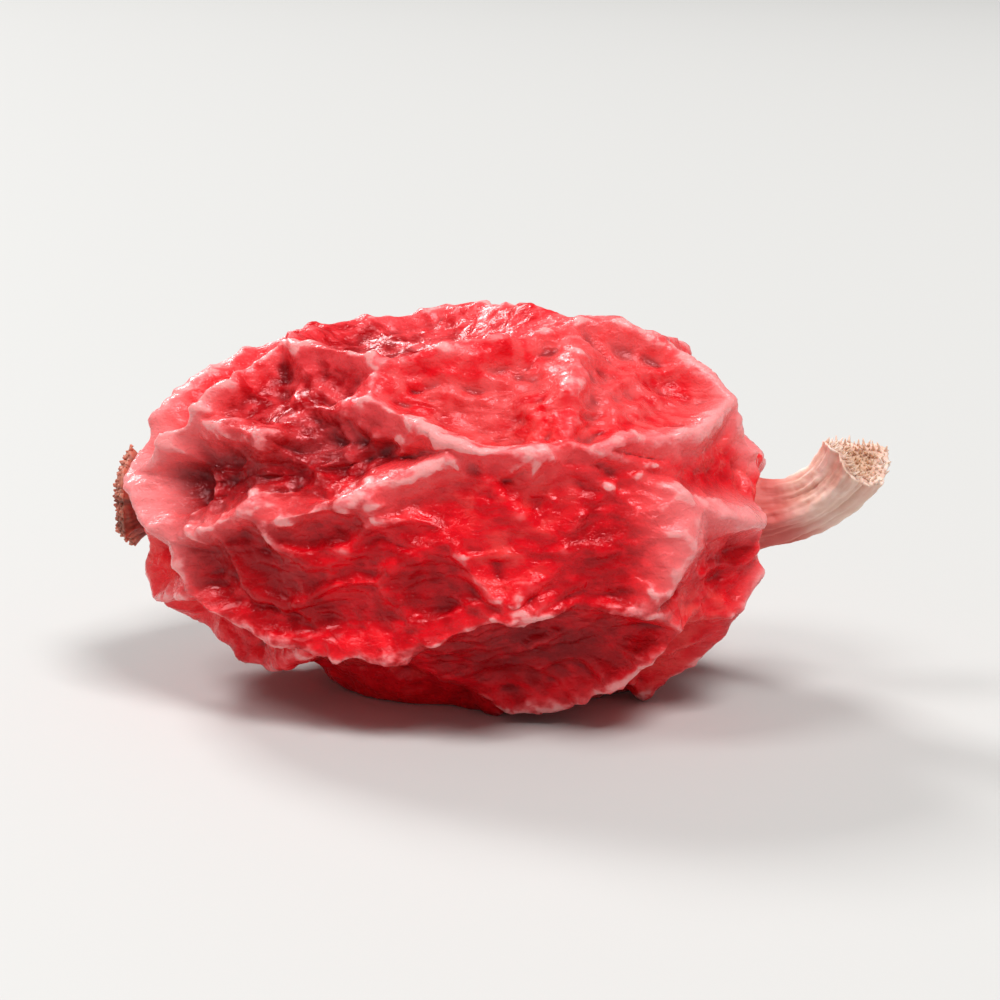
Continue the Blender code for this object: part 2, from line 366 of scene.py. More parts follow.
class Graph:
    """A node tree that is built node by node."""

    def __init__(self, tree: NodeTree) -> None:
        """Takes the tree that the nodes go into."""
        self.tree = tree

    def __getitem__(self, name: str) -> Value:
        """Gives one of the group's own inputs."""
        return Value(self, self.tree.nodes["Group Input"].outputs[name])

    def feed(self, node: Node, feeds: Feeds) -> None:
        """Fills inputs of a node.

        Args:
            node: the node.
            feeds: what goes into its inputs, by name or number. Colours come without their
                opacity, and a number for a vector is used for its three parts.
        """
        for key, value in feeds.items():
            socket = node.inputs[key]
            if isinstance(value, Value):
                self.tree.links.new(value.socket, socket)
            elif socket.type == "RGBA":
                socket.default_value = (*value, 1.0)
            elif socket.type == "VECTOR" and not is_vector(value):
                socket.default_value = (value,) * 3
            else:
                socket.default_value = value

    def add(self, kind: str, feeds: Feeds | None = None, **settings: object) -> Value:
        """Adds one node.

        Args:
            kind: the node's type.
            feeds: what goes into its inputs.
            settings: the node's own properties.

        Returns:
            The first output that is in use.
        """
        node = self.tree.nodes.new(kind)
        for name, value in settings.items():
            setattr(node, name, value)
        self.feed(node, feeds or {})
        return Value(self, next(socket for socket in node.outputs if socket.enabled))

    def give(self, feeds: Feeds) -> None:
        """Sets what the group gives."""
        self.feed(self.tree.nodes.new("NodeGroupOutput"), feeds)

    def call(self, group: "Graph", feeds: Feeds) -> Value:
        """Uses a shader group."""
        return self.add("ShaderNodeGroup", feeds, node_tree=group.tree)

    def math(self, operation: str, *values: Feed) -> Value:
        """Works on numbers, or on vectors where any value is one."""
        kind = "ShaderNodeVectorMath" if any(map(is_vector, values)) else "ShaderNodeMath"
        return self.add(kind, dict(enumerate(values)), operation=operation)

    def joined(self, *parts: Feed) -> Value:
        """Joins three numbers into a vector."""
        return self.add("ShaderNodeCombineXYZ", dict(enumerate(parts)))

    def mix(self, share: Feed, first: Feed, second: Feed) -> Value:
        """Mixes two colours."""
        return self.add("ShaderNodeMix", {0: share, 6: first, 7: second}, data_type="RGBA")

    def noise(self, place: Value, size: Feed, detail: float = 3.0) -> Value:
        """Adds smooth noise whose blots have a given size."""
        feeds = {"Vector": place, "Scale": 1.0 / size, "Detail": detail}
        return self.add("ShaderNodeTexNoise", feeds)

    def stretched(self, place: Value, stretch: Value) -> Value:
        """Squeezes places along the fruit, so that a pattern there comes out stretched."""
        return place * self.joined(1.0 / stretch, 1.0, 1.0)

    def position(self) -> Value:
        """Reads the position in a geometry tree."""
        return self.add("GeometryNodeInputPosition")

    def seeded_place(self) -> Value:
        """Reads the position in a geometry tree in millimetres, shifted by the tree's seed."""
        return self.position() * (1.0 / MM) + self["Seed"] * SEED_STEP

    def moved(self, geometry: Value, **where: Value) -> Value:
        """Moves the points of a geometry to a Position or by an Offset."""
        return self.add("GeometryNodeSetPosition", {"Geometry": geometry, **where})

    def raised(self, geometry: Value, rise: Value) -> Value:
        """Moves the points of a geometry out along their normals."""
        return self.moved(geometry, Offset=self.add("GeometryNodeInputNormal") * rise)

    def attribute(self, name: str, kind: str = "FLOAT") -> Value:
        """Reads an attribute in a geometry tree."""
        return self.add("GeometryNodeInputNamedAttribute", {"Name": name}, data_type=kind)

    def store(self, geometry: Value, mask: Mask, value: Value) -> Value:
        """Stores a mask on the points of a geometry."""
        feeds = {"Geometry": geometry, "Name": mask, "Value": value}
        return self.add("GeometryNodeStoreNamedAttribute", feeds)

    def mask(self, mask: Mask) -> Value:
        """Reads one of the piece's masks in a material."""
        return self.add("ShaderNodeAttribute", attribute_name=mask)["Fac"]

    def end(self, geometry: Value) -> None:
        """Ends a geometry tree: everything is realised and gets the tree's material.

        Args:
            geometry: what the tree gives.
        """
        whole = self.add("GeometryNodeRealizeInstances", {"Geometry": geometry})
        feeds = {"Geometry": whole, "Material": self["Material"]}
        self.give({"Geometry": self.add("GeometryNodeSetMaterial", feeds)})


@dataclass(frozen=True)
class Inputs:
    """Sizes that go into a tree: a field cell_length fills the input Cell Length."""

    @property
    def named(self) -> dict[str, object]:
        """The sizes under the names of the tree's inputs."""
        return {name.replace("_", " ").title(): value for name, value in asdict(self).items()}


def new_tree(name: str, kind: str, inputs: dict[str, object], outputs: dict[str, str]) -> Graph:
    """Makes a node group with named sockets.

    Args:
        name: the group's name.
        kind: its tree type.
        inputs: each input's name, with its first value or its socket type.
        outputs: each output's name and socket type.

    Returns:
        The group, ready for its nodes.
    """
    tree = bpy.data.node_groups.new(name, kind)
    kinds = {int: "NodeSocketInt", float: "NodeSocketFloat", tuple: "NodeSocketColor"}
    for label, value in inputs.items():
        sort = kinds.get(type(value), value)
        socket = tree.interface.new_socket(label, in_out="INPUT", socket_type=sort)
        if isinstance(value, (int, float)):
            socket.default_value = value
    for label, sort in outputs.items():
        tree.interface.new_socket(label, in_out="OUTPUT", socket_type=sort)
    tree.nodes.new("NodeGroupInput")
    return Graph(tree)


def new_geometry_tree(name: str, sizes: Inputs) -> Graph:
    """Makes a geometry tree that takes a geometry and a material besides its sizes."""
    inputs = {**GEOMETRY, "Material": "NodeSocketMaterial", **sizes.named}
    return new_tree(name, "GeometryNodeTree", inputs, GEOMETRY)


def run_tree(item: Object, graph: Graph, sizes: Inputs, **others: object) -> None:
    """Runs a geometry tree on an object and keeps the result as its plain mesh.

    Args:
        item: the object.
        graph: the geometry tree.
        sizes: what goes into the tree's inputs.
        others: values that replace some of the sizes, or go into further inputs.
    """
    values = {**sizes.named, **others}
    modifier = item.modifiers.new(graph.tree.name, "NODES")
    modifier.node_group = graph.tree
    for socket in graph.tree.interface.items_tree:
        if socket.in_out == "INPUT" and socket.name in values:
            modifier[socket.identifier] = values[socket.name]
    seen = item.evaluated_get(bpy.context.evaluated_depsgraph_get())
    mesh = bpy.data.meshes.new_from_object(seen)
    item.modifiers.remove(modifier)
    item.data = mesh
    mesh.name = item.name


def carry(mesh: Mesh, values: dict[str, Sequence]) -> None:
    """Stores named numbers and directions on a mesh's points.

    Args:
        mesh: the mesh.
        values: for each name, a number or a direction for every point.
    """
    for name, rows in values.items():
        rows = np.array(rows, np.float32)
        kind, key = ("FLOAT", "value") if rows.ndim == 1 else (ARROW, "vector")
        mesh.attributes.new(name, kind, "POINT").data.foreach_set(key, rows.ravel())


def new_item(name: str, mesh: Mesh) -> Object:
    """Puts a mesh in the scene.

    Args:
        name: the object's name.
        mesh: its mesh.

    Returns:
        The object, at the origin.
    """
    item = bpy.data.objects.new(name, mesh)
    bpy.context.scene.collection.objects.link(item)
    return item


def new_material(name: str) -> tuple[Material, Node]:
    """Makes a material.

    Args:
        name: its name.

    Returns:
        The material, and its shader node.
    """
    material = bpy.data.materials.new(name)
    material.use_nodes = True
    return material, material.node_tree.nodes["Principled BSDF"]


def dress(item: Object, node: str) -> None:
    """Makes a piece stand for a node of the frame.

    Args:
        item: the finished piece.
        node: the node that it replaces.
    """
    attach(item, BODY)
    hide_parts(node)
    item.data.calc_loop_triangles()
    log.info("%s stands for %s with %d triangles", item.name, node, len(item.data.loop_triangles))


@dataclass(frozen=True)
class Crinkles(Inputs):
    """Fine lines that stand up from the skin between its crests, round cells or along folds."""

    cell_length: float = 0.5
    cell_stretch: float = 2.0
    line_width: float = 0.1
    line_height: float = 0.03
    warp: float = 0.3
    folded: float = 0.0
    seed: int = 1
    sharpness: float = 1.5
    line_share: float = 0.45
    warp_length: float = 0.8
    floor: float = 0.0


@cache
def crinkle_tree() -> Graph:
    """Builds the geometry tree that crinkles a surface between its crests.

    Returns:
        The tree. It pushes the points out along the lines of a stretched pattern, of cells or
        of folds, draws them in between the lines, and keeps them above the floor.
    """
    graph = new_geometry_tree("crinkles", Crinkles())
    place = graph.seeded_place()
    push = graph.noise(place, graph["Warp Length"], detail=1.0)["Color"] - 0.5
    place = graph.stretched(place + push * graph["Warp"], graph["Cell Stretch"])
    feeds = {"Vector": place, "Scale": 1.0 / graph["Cell Length"]}
    to_line = graph.add("ShaderNodeTexVoronoi", feeds, feature="DISTANCE_TO_EDGE")
    folds = graph.noise(place, graph["Cell Length"], detail=1.5)
    to_fold = graph.math("ABSOLUTE", folds - 0.5) * 2.0
    edge = (to_line + (to_fold - to_line) * graph["Folded"]) * graph["Cell Length"]
    off_line = graph.math("MINIMUM", edge / graph["Line Width"], 1.0)
    line = graph.math("POWER", 1.0 - off_line, graph["Sharpness"]) - graph["Line Share"]
    rise = line * graph.attribute(Mask.FREE) * graph["Line Height"] * MM
    split = graph.add("ShaderNodeSeparateXYZ", {0: graph.position()})
    height = graph.math("MAXIMUM", split["Z"], graph["Floor"])
    rested = graph.joined(split["X"], split["Y"], height)
    graph.end(graph.moved(graph.raised(graph["Geometry"], rise), Position=rested))
    return graph


@dataclass(frozen=True)
class EdgeMarks(Inputs):
    """How widely the skin is smoothed, and how far a full edge stands out of the smooth skin."""

    steps: int = 14
    full_height: float = 0.07


@cache
def edge_tree() -> Graph:
    """Builds the geometry tree that marks the sharp crests and creases of a surface.

    Returns:
        The tree. It measures how far each point stands out of its smoothed surroundings.
    """
    graph = new_geometry_tree("edge_marks", EdgeMarks())
    place = graph.position()
    feeds = {"Value": place, "Iterations": graph["Steps"]}
    around = graph.add("GeometryNodeBlurAttribute", feeds, data_type=ARROW)
    out = graph.math("DOT_PRODUCT", place - around, graph.add("GeometryNodeInputNormal"))
    out = out / (graph["Full Height"] * MM) * graph.attribute(Mask.FREE)
    marked = graph.store(graph["Geometry"], Mask.RAISED, out.ramp(0.0, 1.0))
    graph.end(graph.store(marked, Mask.CREASED, out.ramp(0.0, -1.0)))
    return graph


@dataclass
class Fruit:
    """The dried fruit, flesh and skin in one."""

    rest_point: Vector
    body: SmoothFruit = SmoothFruit()
    main_net: CrestNet = CrestNet(
        seed=17, hollows=48, jitter=0.10, stretch=1.60, depth=0.45, spread=0.35, reach=0.31,
        rounding=0.05, weak=0.16, lip=0.12, lip_width=0.11,
        # The kept hollows' tones carry painted light and shade: high on facets facing the light,
        # low in deep pockets.
        kept=(
            Hollow(-0.70, 27, 1.45, 0.10),
            Hollow(-0.33, 29, 1.45, 0.15),
            Hollow(-0.50, 57, 0.90, 0.40),
            Hollow(-0.16, 82, 1.00, 0.35),
            Hollow(-0.62, -8, 0.65, 0.15),
            Hollow(-0.20, -8, 0.65, 0.40),
            Hollow(0.14, 9, 0.65, 0.65),
            Hollow(0.54, 7, 0.90, 0.35),
            Hollow(0.20, 52, 0.90, 0.90),
            Hollow(0.62, 55, 0.80, 0.80),
            Hollow(0.36, -36, 1.00, 0.10),
        ),
        run_together=((0, 1), (4, 5), (5, 6), (6, 7)),
    )
    side_net: CrestNet = CrestNet(
        seed=29, hollows=130, jitter=0.05, stretch=1.45, depth=0.11, spread=0.50, reach=0.17,
        rounding=0.02, weak=0.30, lip=0.03, lip_width=0.05,
    )
    calm_waves: Waves = Waves(22, 2.2, 4.0)
    calm_share: float = 0.75
    calm_span: Span = (-0.4, 0.8)
    stalk_foot: float = 0.44
    stigma_foot: float = 0.40
    seat_zone: float = 0.25
    seat_margin: float = 0.04
    seat_depth: float = 0.26
    seat_lip: float = 0.42
    pleats: tuple[int, int] = (9, 8)
    pleat_height: float = 0.075
    pleat_reach: float = 1.9
    pleat_waves: Waves = Waves(24, 1.6, 4.5)
    pleat_wander: float = 0.5
    patch_length: float = 2.4
    patch_width: float = 1.6
    patch_margin: float = 0.7
    crinkle_reach: float = 1.2
    # These lean the crests' paleness to up-facing skin: painted light from above.
    low_crest: float = 0.50
    upward_span: Span = (-0.6, 0.3)
    top_span: Span = (0.35, 0.95)
    top_fade: float = 0.5
    end_calm: float = 0.35
    end_span: Span = (0.6, 0.95)
    rest_cut: float = 0.14
    crinkles: tuple[Crinkles, ...] = (
        Crinkles(0.62, 2.4, line_width=0.22, line_height=0.075, warp=0.8, seed=3),
        Crinkles(0.30, 2.2, line_width=0.12, line_height=0.030, warp=0.5, seed=8),
        Crinkles(0.40, 2.6, line_width=0.07, line_height=0.022, warp=0.3, folded=1.0, seed=21),
    )
    cuts: int = 95

    @property
    def middle(self) -> Vector:
        """The middle of the smooth fruit in the frame: the rest patch lies under its waist."""
        up = (self.body.height / 2 - self.rest_cut) * MM
        return self.rest_point + Vector((0.0, self.body.side_bend * MM, up))

    def seat(self, points: np.ndarray) -> tuple[np.ndarray, np.ndarray]:
        """Finds the seats of the stalk and of the stigma.

        Args:
            points: places on the smooth fruit.

        Returns:
            How fully each place lies in a seat, and how high the pleats round it stand.
        """
        at_stalk = points[:, 0] > 0
        off_axis = np.hypot(points[:, 1], points[:, 2])
        foot = np.where(at_stalk, self.stalk_foot, self.stigma_foot) + self.seat_margin
        near_end = np.abs(points[:, 0]) > self.body.length * self.seat_zone
        seat = smooth_step(1.0, 0.0, (off_axis - foot) / self.seat_lip) * near_end
        turn = np.arctan2(points[:, 2], points[:, 1])
        turn += self.pleat_wander * self.pleat_waves.at(points)[:, 1]
        pleat = np.cos(turn * np.where(at_stalk, *self.pleats))
        return seat, pleat * smooth_step(self.pleat_reach, foot, off_axis) * near_end

    def form(self, mesh: Mesh, directions: np.ndarray) -> None:
        """Shapes the dried fruit and stores its masks.

        Args:
            mesh: a geodesic ball.
            directions: the unit direction of each of its points.
        """
        points, normals = self.body.surface(directions)
        main = self.main_net.relief(self.body, points)
        calm = smooth_step(*self.calm_span, self.calm_waves.at(points)[:, 0])
        side = self.side_net.relief(self.body, points)
        seat, pleat = self.seat(points)
        rise = main.rise + side.rise * (1.0 - self.calm_share * calm) + self.pleat_height * pleat

        reach = 2.0 * np.hypot(points[:, 0] / self.patch_length, points[:, 1] / self.patch_width)
        patch = smooth_step(1.0 + self.patch_margin, 1.0, reach) * (points[:, 2] < 0)
        free = (1.0 - seat) * (1.0 - patch)
        points = points + normals * (rise * free)[:, None]
        seat_height = np.sign(points[:, 0]) * (self.body.length / 2 - self.seat_depth)
        points[:, 0] += (seat_height - points[:, 0]) * seat
        points[:, 2] = np.maximum(points[:, 2], self.rest_cut - self.body.height / 2)
        placed = points * MM + np.array(self.middle)
        mesh.vertices.foreach_set("co", placed.astype(np.float32).ravel())

        deepest = self.main_net.depth * (1.0 + self.main_net.spread)
        tip = np.clip(np.abs(points[:, 0]) / (self.body.length / 2), 0.0, 1.0)
        upward = smooth_step(*self.upward_span, normals[:, 2])
        topmost = smooth_step(*self.top_span, normals[:, 2])
        # Painted light: crests pale more where they face up, less beneath, and fade on the very
        # top.
        shown = self.low_crest + (1.0 - self.low_crest) * upward
        under = smooth_step(self.crinkle_reach, 1.0, reach) * (points[:, 2] < 0)
        ended = self.end_calm * smooth_step(*self.end_span, tip)
        masks = {
            Mask.CREST: main.crest * free * (shown - self.top_fade * topmost**2),
            Mask.HOLLOW: np.clip(-rise / deepest, 0.0, 1.0) * free,
            Mask.TONE: main.tone,
            # Up-facing skin, where the finish paints bloom and sheen.
            Mask.UPWARD: topmost,
            Mask.FREE: (1.0 - ended) * (1.0 - under),
            Mask.TIP: tip,
        }
        carry(mesh, masks)

    def build(self, skin: Material) -> Object:
        """Builds the fruit in its finish.

        Args:
            skin: the material of the finish.

        Returns:
            The finished piece.
        """
        ball = bmesh.new()
        bmesh.ops.create_icosphere(ball, subdivisions=1, radius=1.0)
        bmesh.ops.subdivide_edges(ball, edges=ball.edges[:], cuts=self.cuts, use_grid_fill=True)
        mesh = bpy.data.meshes.new("dried_fruit")
        ball.to_mesh(mesh)
        ball.free()
        directions = np.empty((len(mesh.vertices), 3), np.float32)
        mesh.vertices.foreach_get("co", directions.ravel())
        directions = directions.astype(float)
        directions /= np.linalg.norm(directions, axis=1, keepdims=True)
        self.form(mesh, directions)
        mesh.shade_smooth()
        item = new_item("dried_fruit", mesh)
        for crinkles in self.crinkles:
            run_tree(item, crinkle_tree(), crinkles, Floor=self.rest_point.z, Material=skin)
        run_tree(item, edge_tree(), EdgeMarks(), Material=skin)
        return item


@dataclass(frozen=True)
class ColumnSkin(Inputs):
    """The skin of a ringed column: its lobes, its torn end, its fibres and its grain."""

    sides: int = 96
    lobes: int = 5
    lobe_height: float = 0.08
    lobe_wander: float = 0.0
    tear: float = 0.0
    tear_turn: float = 0.0
    fibres: float = 5.0
    fibre_height: float = 0.3
    grain_height: float = 0.02
    grain_length: float = 0.3
    seed: int = 1


@cache
def ring_tree() -> Graph:
    """Builds the geometry tree that lays a skin over rings set along a path.

    Returns:
        The tree. Its input has a point for each ring, which carries the ring's sizes, the two
        ways across the path and the way along it. Each ring is lobed, fibres run from ring to
        ring and are marked as crests, the torn rings are pushed to and fro along the path, the
        skin is closed at both ends, and its grain is raised.
    """
    graph = new_geometry_tree("ringed_column", ColumnSkin())
    rings = graph.add("GeometryNodeAttributeDomainSize", {"Geometry": graph["Geometry"]})
    feeds = {"Size X": 1.0, "Size Y": 1.0, "Vertices X": graph["Sides"] + 1.0, "Vertices Y": rings}
    sheet = graph.add("GeometryNodeMeshGrid", feeds)
    split = graph.add("ShaderNodeSeparateXYZ", {0: graph.position()})
    turn = (split["X"] + 0.5) * (2.0 * math.pi)
    ring = graph.math("ROUND", (split["Y"] + 0.5) * (rings - 1.0))

    def at_ring(value: Value, kind: str = "FLOAT") -> Value:
        """Reads a value at the ring's own point."""
        feeds = {"Geometry": graph["Geometry"], "Value": value, "Index": ring}
        return graph.add("GeometryNodeSampleIndex", feeds, data_type=kind)

    def carried(name: str, kind: str = "FLOAT") -> Value:
        """Reads what the ring's own point carries."""
        return at_ring(graph.attribute(name, kind), kind)

    wave = graph["Lobes"] * turn + graph.math("SINE", turn * 2.0) * graph["Lobe Wander"]
    lobe = graph.math("COSINE", wave) * graph["Lobe Height"] * carried("lobed")
    round_x, round_y = graph.math("COSINE", turn), graph.math("SINE", turn)
    wrap = graph.joined(round_x, round_y, 0.0) * graph["Fibres"]
    fibre = graph.noise(wrap + graph.joined(graph["Seed"], 0.0, split["Y"] * 2.0), 1.0)
    radius = carried("radius") * (lobe + (fibre - 0.5) * graph["Fibre Height"] + 1.0)
    spoke = (carried("across", ARROW) * round_x + carried("beside", ARROW) * round_y) * radius
    tear = graph.math("SINE", turn * 2.0 + graph["Tear Turn"])
    tear = carried("ahead", ARROW) * (tear * graph["Tear"] * carried("torn") * MM)
    place = at_ring(graph.position(), ARROW) + spoke + tear
    tipped = graph.store(sheet, Mask.TIP, carried("share"))
    streaked = graph.store(tipped, Mask.CREST, fibre.ramp(*STREAK_SPAN))
    feeds = {"Geometry": graph.moved(streaked, Position=place), "Distance": SAME_POINT}
    closed = graph.add("GeometryNodeMergeByDistance", feeds)

    grain = graph.noise(graph.seeded_place(), graph["Grain Length"]) - 0.5
    raised = graph.raised(closed, grain * graph["Grain Height"] * (2.0 * MM))
    graph.end(graph.add("GeometryNodeSetShadeSmooth", {"Geometry": raised}))
    return graph


@dataclass(frozen=True)
class EndFibres(Inputs):
    """Short fibres on a column, between two shares of the way along its skin."""

    start: float = 0.8
    end: float = 1.0
    spacing: float = 0.05
    length: float = 0.12
    radius: float = 0.02
    top_share: float = 0.3
    tilt: float = 0.4
    smallest: float = 0.5
    largest: float = 1.3
    seed: int = 1
    sides: int = 6
    segments: int = 3


@cache
def fibre_tree() -> Graph:
    """Builds the geometry tree that sets short fibres on a column.

    Returns:
        The tree. The fibres stand where the tip mask lies between the start and the end.
    """
    graph = new_geometry_tree("end_fibres", EndFibres())
    tip, seed = graph.attribute(Mask.TIP), graph["Seed"]
    past = graph.math("GREATER_THAN", tip, graph["Start"])
    feeds = {
        "Mesh": graph["Geometry"],
        "Selection": past * graph.math("LESS_THAN", tip, graph["End"]),
        "Distance Min": graph["Spacing"] * MM,
        "Density Max": FULL_DENSITY,
        "Seed": seed,
    }
    spread = graph.add("GeometryNodeDistributePointsOnFaces", feeds, distribute_method="POISSON")
    feeds = {
        "Vertices": graph["Sides"],
        "Side Segments": graph["Segments"],
        "Radius Top": graph["Radius"] * graph["Top Share"] * MM,
        "Radius Bottom": graph["Radius"] * MM,
        "Depth": graph["Length"] * MM,
    }
    cone = graph.add("GeometryNodeMeshCone", feeds)
    feeds = {0: graph["Tilt"] * -1.0, 1: graph["Tilt"], "Seed": seed}
    tilt = graph.add("FunctionNodeRandomValue", feeds, data_type=ARROW)
    feeds = {"Rotation": spread["Rotation"], "Rotate By": tilt}
    turned = graph.add("FunctionNodeRotateRotation", feeds, rotation_space="LOCAL")
    feeds = {2: graph["Smallest"], 3: graph["Largest"], "Seed": seed}
    size = graph.add("FunctionNodeRandomValue", feeds, data_type="FLOAT")
    feeds = {"Points": spread["Points"], "Instance": cone, "Rotation": turned, "Scale": size}
    planted = graph.add("GeometryNodeInstanceOnPoints", feeds)
    both = graph.add("GeometryNodeJoinGeometry", {"Geometry": planted})
    graph.feed(both.socket.node, {"Geometry": graph["Geometry"]})
    graph.end(graph.add("GeometryNodeSetShadeSmooth", {"Geometry": both}))
    return graph


@dataclass(frozen=True)
class Ring:
    """One ring of a column: lengths in millimetres, turned about Y in the column's own space."""

    centre: Vector
    radius: float
    lobed: float
    turn: float = 0.0
    torn: float = 0.0


@dataclass
class Column:
    """A ringed piece that stands on one of the fruit's seats, to one side of it along X.

    Its skin runs from the middle of its foot up its side to its rim, and then inward.
    """

    name: ClassVar[str]
    side: ClassVar[int]
    turn: ClassVar[Triple]
    fruit: Fruit
    rings: int
    skin: ColumnSkin
    fibres: EndFibres
    sunk: float
    foot_share: float
    rim_share: float
    gap: float = 0.0

    def ring(self, rise: float, inward: float) -> Ring:
        """Gives the ring at a share of the way up the side and then inward, still fully open."""
        raise NotImplementedError

    def path(self) -> Object:
        """Makes the points that the ring tree reads.

        Returns:
            An object with a point for each ring, foot first.
        """
        seat = self.side * (self.fruit.body.length / 2 - self.fruit.seat_depth + self.gap) * MM
        turned = Euler(self.turn, "ZYX").to_matrix()
        placing = Matrix.Translation(self.fruit.middle + Vector((seat, 0.0, 0.0)))
        placing = placing @ turned.to_4x4()
        shares = np.arange(self.rings) / (self.rings - 1)
        rise = np.clip((shares - self.foot_share) / (self.rim_share - self.foot_share), 0.0, 1.0)
        inward = np.maximum((shares - self.rim_share) / (1.0 - self.rim_share), 0.0)
        opening = np.minimum(shares / self.foot_share, 1.0) * (1.0 - inward)
        rings = [self.ring(*ways) for ways in zip(rise.tolist(), inward.tolist())]
        mesh = bpy.data.meshes.new(self.name)
        mesh.from_pydata([placing @ (ring.centre * MM) for ring in rings], [], [])
        across = [Vector((math.cos(ring.turn), 0.0, -math.sin(ring.turn))) for ring in rings]
        beside = Vector((0.0, 1.0, 0.0))
        carried = {
            "share": shares,
            "radius": [ring.radius for ring in rings] * opening * MM,
            "lobed": [ring.lobed for ring in rings],
            "torn": [ring.torn for ring in rings],
            "across": [turned @ way for way in across],
            "beside": [turned @ beside for _ in rings],
            "ahead": [turned @ way.cross(beside) for way in across],
        }
        carry(mesh, carried)
        return new_item(self.name, mesh)

    def build(self, finish: Material) -> Object:
        """Builds the piece in its finish.

        Args:
            finish: the material of the finish.

        Returns:
            The finished piece.
        """
        item = self.path()
        run_tree(item, ring_tree(), self.skin, Material=finish)
        run_tree(item, fibre_tree(), self.fibres, Material=finish)
        return item


@dataclass
class StalkStub(Column):
    """The short end of the fruit's own stalk, from its flared foot to its torn end."""

    name: ClassVar[str] = "stalk_end"
    side: ClassVar[int] = 1
    turn: ClassVar[Triple] = (math.radians(20), math.pi / 2, math.pi)
    length: float = 1.45
    radius: float = 0.31
    end_radius: float = 0.38
    foot_flare: int = 4
    end_flare: int = 3
    bend: float = math.radians(70)
    rib_onset: float = 0.25
    torn_share: float = 0.85
    gap: float = 0.03
    sunk: float = 0.09
    foot_share: float = 0.06
    rim_share: float = 0.80
    pit: float = 0.10
    pit_span: Span = (0.15, 0.75)
    rings: int = 110
    skin: ColumnSkin = ColumnSkin(
        sides=110, lobes=5, lobe_height=0.09, tear=0.10, tear_turn=0.6, fibres=4.5,
        fibre_height=0.55, grain_height=0.03, grain_length=0.16, seed=2,
    )
    fibres: EndFibres = EndFibres(0.80, 1.0, spacing=0.045, length=0.07, radius=0.018, seed=5)

    def ring(self, rise: float, inward: float) -> Ring:
        """Gives one ring of the bent stub.

        Args:
            rise: the share of the way up the side.
            inward: the share of the way from the rim to the middle of the torn end.

        Returns:
            The ring.
        """
        radius = self.radius + (self.end_radius - self.radius) * rise**self.end_flare
        radius += (self.fruit.stalk_foot - self.radius) * (1.0 - rise) ** self.foot_flare
        turn = self.bend * rise
        ahead = Vector((math.sin(turn), 0.0, math.cos(turn)))
        centre = self.length / self.bend * Vector((1.0 - math.cos(turn), 0.0, math.sin(turn)))
        centre -= ahead * (self.sunk * (1.0 - rise))
        centre -= ahead * self.pit * smooth_step(*self.pit_span, inward)
        torn = max(0.0, (rise - self.torn_share) / (1.0 - self.torn_share)) * (1.0 - inward)
        return Ring(centre, radius, min(1.0, rise / self.rib_onset), turn, torn)


@dataclass
class StigmaRemnant(Column):
    """What is left of the flower's stigma: a button with a puckered rim round a pit."""

    name: ClassVar[str] = "stigma_button"
    side: ClassVar[int] = -1
    turn: ClassVar[Triple] = (0.0, -math.pi / 2, 0.0)
    height: float = 0.40
    side_height: float = 0.29
    waist_radius: float = 0.36
    rim_radius: float = 0.54
    pit_depth: float = 0.26
    pit_span: Span = (0.3, 0.9)
    crown_share: float = 1 / 3
    lobe_fade: float = 0.6
    sunk: float = 0.06
    foot_share: float = 0.08
    rim_share: float = 0.45
    rings: int = 90
    skin: ColumnSkin = ColumnSkin(
        sides=140, lobes=6, lobe_height=0.08, lobe_wander=0.8, grain_height=0.06,
        grain_length=0.25, seed=6,
    )
    fibres: EndFibres = EndFibres(0.44, 0.80, 0.055, length=0.035, radius=0.030, tilt=0.3, seed=9)

    def ring(self, rise: float, inward: float) -> Ring:
        """Gives one ring of the button.

        Args:
            rise: the share of the way up the side.
            inward: the share of the way from the side, over the rim, to the middle of the pit.

        Returns:
            The ring.
        """
        foot_radius = self.fruit.stigma_foot
        radius = foot_radius + (self.rim_radius - foot_radius) * (rise * rise)
        radius += (self.waist_radius - foot_radius) * math.sin(math.pi * rise)
        crown = math.sin(min(1.0, inward / self.crown_share) * math.pi / 2)
        up = self.side_height * rise - self.sunk * (1.0 - rise)
        up += (self.height - self.side_height) * crown
        up -= self.pit_depth * smooth_step(*self.pit_span, inward)
        lobed = rise * rise * (1.0 - self.lobe_fade * inward)
        return Ring(Vector((0.0, 0.0, up)), radius, lobed)


@dataclass(frozen=True)
class DryGrain(Inputs):
    """The sizes of the dry grain in a finish, in millimetres, and how much of it is crackle."""

    grain_size: float = 0.08
    mottle_size: float = 0.8
    stretch: float = 1.6
    crackle: float = 0.0
    fold_width: float = 0.12
    speckle_scale: float = 1.4


@cache
def grain_group() -> Graph:
    """Builds the shader group of dry grain that every finish of the berry uses.

    Returns:
        The group. Height is fine grain and crackle for a bump, and Speckle and Mottle are small
        and large blots, from 0 to 1.
    """
    ends = dict.fromkeys(("Height", "Speckle", "Mottle"), "NodeSocketFloat")
    graph = new_tree("dry_grain", "ShaderNodeTree", DryGrain().named, ends)
    place = graph.add("ShaderNodeTexCoord")["Object"] * (1.0 / MM)
    place = graph.stretched(place, graph["Stretch"])
    fine = graph.noise(place, graph["Grain Size"], detail=4.0)
    off_fold = graph.math("ABSOLUTE", fine - 0.5)
    folds = off_fold.ramp(graph["Fold Width"], 0.0) * graph["Crackle"]
    speckle = graph.noise(place, graph["Grain Size"] * graph["Speckle Scale"])
    mottle = graph.noise(place, graph["Mottle Size"])
    blots = {"Speckle": speckle.ramp(*BLOT_SPAN), "Mottle": mottle.ramp(*BLOT_SPAN)}
    graph.give({"Height": fine + folds, **blots})
    return graph


